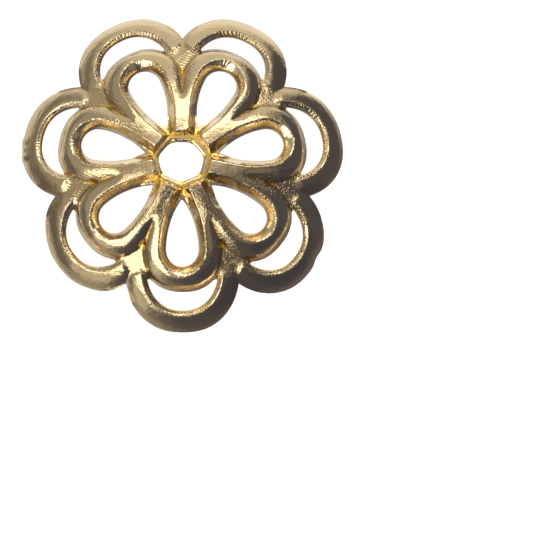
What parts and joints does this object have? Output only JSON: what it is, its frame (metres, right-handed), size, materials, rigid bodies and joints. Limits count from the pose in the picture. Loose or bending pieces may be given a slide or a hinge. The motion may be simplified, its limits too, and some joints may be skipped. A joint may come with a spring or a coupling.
{
  "type": "bead cap",
  "caption": "Domed gold-tone bead cap: a pierced metal flower with inner petals over wider outer petals round a small stringing hole.",
  "frame": {"origin": "on the cap's axis, in the plane that its petal tips stand on", "axes": "+Z along the axis, from the hollow side to the domed side; one petal points along -Y, and one spoke along +Y"},
  "size_m": [0.0148, 0.0146, 0.004],
  "materials": {
    "gold_plate": "satin gold plate with a slightly darkened, antique tone"
  },
  "bodies": {
    "root": {"bead_cap": "gold_plate"}
  },
  "joints": []
}
